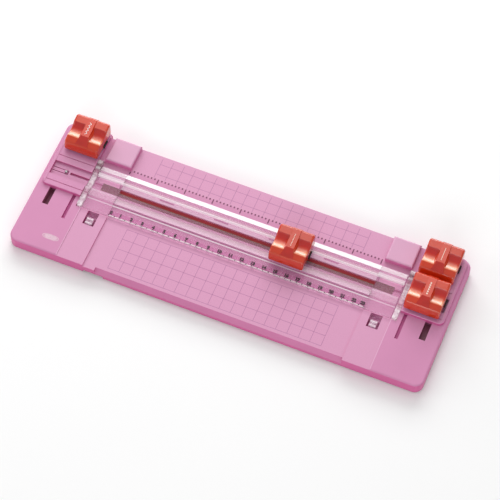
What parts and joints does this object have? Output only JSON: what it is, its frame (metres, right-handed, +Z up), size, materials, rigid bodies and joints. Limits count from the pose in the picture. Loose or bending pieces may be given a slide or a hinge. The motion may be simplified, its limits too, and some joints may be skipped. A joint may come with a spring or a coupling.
{
  "type": "rotary_paper_trimmer",
  "caption": "Portable rotary paper trimmer and scorer with a pink ruled base, clear hinged guide rail, press latches and red interchangeable sliding blade heads in docks",
  "frame": {"origin": "centre of the footprint on the surface the rubber feet stand on", "axes": "+X along the guide rail and printed ruler, to the user's right; +Y away from the user, toward the rail's hinge; +Z up"},
  "size_m": [0.368, 0.127, 0.0303],
  "materials": {
    "base_plastic": "satin moulded",
    "dock_plastic": "gloss moulded",
    "pale_plastic": "satin moulded",
    "clear_rail": "clear pink tint, polished",
    "clear_ends": "clear pink tint, polished",
    "clear_latch": "clear pink tint, polished",
    "head_red": "gloss, slightly translucent",
    "carrier_red": "satin",
    "chassis_black": "satin",
    "carrier_grey": "matte",
    "stick_red": "matte, self-healing",
    "foot_rubber": "matte",
    "grip_rubber": "soft matte",
    "screw_steel": "zinc plated",
    "bright_steel": "ground",
    "spring_steel": "drawn wire",
    "blade_steel": "ground and honed",
    "crease_plastic": "polished acetal"
  },
  "bodies": {
    "base": {"base_shell": "base_plastic", "left_dock": "dock_plastic", "right_dock": "dock_plastic", "left_rear_stop": "pale_plastic", "right_rear_stop": "pale_plastic", "dock_screws": "screw_steel", "rear_stop_screws": "screw_steel", "rubber_feet": "foot_rubber", "mat_carrier": "carrier_grey", "cutting_stick": "stick_red", "left_hinge_pin": "bright_steel", "right_hinge_pin": "bright_steel", "park_detent_leaf": "dock_plastic", "park_detent_pin": "bright_steel", "left_latch_spring": "spring_steel", "right_latch_spring": "spring_steel"},
    "rail": {"front_guide": "clear_rail", "back_guide": "clear_rail", "left_rail_end": "clear_ends", "right_rail_end": "clear_ends", "grip_strip": "grip_rubber"},
    "left_latch_body": {"left_latch": "clear_latch"},
    "right_latch_body": {"right_latch": "clear_latch"},
    "perforating_carriage": {"perforating_chassis": "chassis_black", "perforating_springs": "spring_steel"},
    "perforating_press": {"perforating_cover": "head_red", "perforating_carrier": "carrier_red", "perforating_axle": "bright_steel"},
    "perforating_roller": {"perforating_wheel": "blade_steel"},
    "wave_carriage": {"wave_chassis": "chassis_black", "wave_springs": "spring_steel"},
    "wave_press": {"wave_cover": "head_red", "wave_carrier": "carrier_red", "wave_axle": "bright_steel"},
    "wave_roller": {"wave_wheel": "blade_steel"},
    "straight_carriage": {"straight_chassis": "chassis_black", "straight_springs": "spring_steel"},
    "straight_press": {"straight_cover": "head_red", "straight_carrier": "carrier_red", "straight_axle": "bright_steel"},
    "straight_roller": {"straight_wheel": "blade_steel"},
    "creasing_carriage": {"creasing_chassis": "chassis_black", "creasing_springs": "spring_steel"},
    "creasing_press": {"creasing_cover": "head_red", "creasing_carrier": "carrier_red", "creasing_axle": "bright_steel"},
    "creasing_roller": {"creasing_wheel": "crease_plastic"}
  },
  "joints": [
    {"name": "rail_hinge", "type": "hinge", "parent": "base", "child": "rail", "pos_m": [0, 0.0325, 0.0132], "axis": [-1, 0, 0], "range_deg": [0, 70]},
    {"name": "left_latch_press", "type": "slide", "parent": "base", "child": "left_latch_body", "axis": [0, 0, -1], "range_m": [0, 0.0015], "stiffness_N_per_m": 300, "deforming": ["left_latch_spring"]},
    {"name": "right_latch_press", "type": "slide", "parent": "base", "child": "right_latch_body", "axis": [0, 0, -1], "range_m": [0, 0.0015], "stiffness_N_per_m": 300, "deforming": ["right_latch_spring"]},
    {"name": "perforating_travel", "type": "slide", "parent": "rail", "child": "perforating_carriage", "axis": [1, 0, 0], "range_m": [-0.149, 0.067]},
    {"name": "perforating_plunge", "type": "slide", "parent": "perforating_carriage", "child": "perforating_press", "axis": [0, 0, -1], "range_m": [0, 0.002], "stiffness_N_per_m": 500, "deforming": ["perforating_springs"]},
    {"name": "perforating_wheel_spin", "type": "hinge", "parent": "perforating_press", "child": "perforating_roller", "pos_m": [0.041, 0.014, 0.0185], "axis": [0, 1, 0], "continuous": true},
    {"name": "wave_lift", "type": "slide", "parent": "base", "child": "wave_carriage", "axis": [0, 0, 1], "range_m": [0, 0.03]},
    {"name": "wave_plunge", "type": "slide", "parent": "wave_carriage", "child": "wave_press", "axis": [0, 0, -1], "range_m": [0, 0.002], "stiffness_N_per_m": 500, "deforming": ["wave_springs"]},
    {"name": "wave_wheel_spin", "type": "hinge", "parent": "wave_press", "child": "wave_roller", "pos_m": [-0.1605, 0.0485, 0.0185], "axis": [0, 1, 0], "continuous": true},
    {"name": "straight_lift", "type": "slide", "parent": "base", "child": "straight_carriage", "axis": [0, 0, 1], "range_m": [0, 0.03]},
    {"name": "straight_plunge", "type": "slide", "parent": "straight_carriage", "child": "straight_press", "axis": [0, 0, -1], "range_m": [0, 0.002], "stiffness_N_per_m": 500, "deforming": ["straight_springs"]},
    {"name": "straight_wheel_spin", "type": "hinge", "parent": "straight_press", "child": "straight_roller", "pos_m": [0.1605, 0.0485, 0.0185], "axis": [0, 1, 0], "continuous": true},
    {"name": "creasing_travel", "type": "slide", "parent": "base", "child": "creasing_carriage", "axis": [1, 0, 0], "range_m": [-0.086, 0]},
    {"name": "creasing_plunge", "type": "slide", "parent": "creasing_carriage", "child": "creasing_press", "axis": [0, 0, -1], "range_m": [0, 0.002], "stiffness_N_per_m": 500, "deforming": ["creasing_springs"]},
    {"name": "creasing_wheel_spin", "type": "hinge", "parent": "creasing_press", "child": "creasing_roller", "pos_m": [0.1605, 0.014, 0.0185], "axis": [0, 1, 0], "continuous": true}
  ]
}
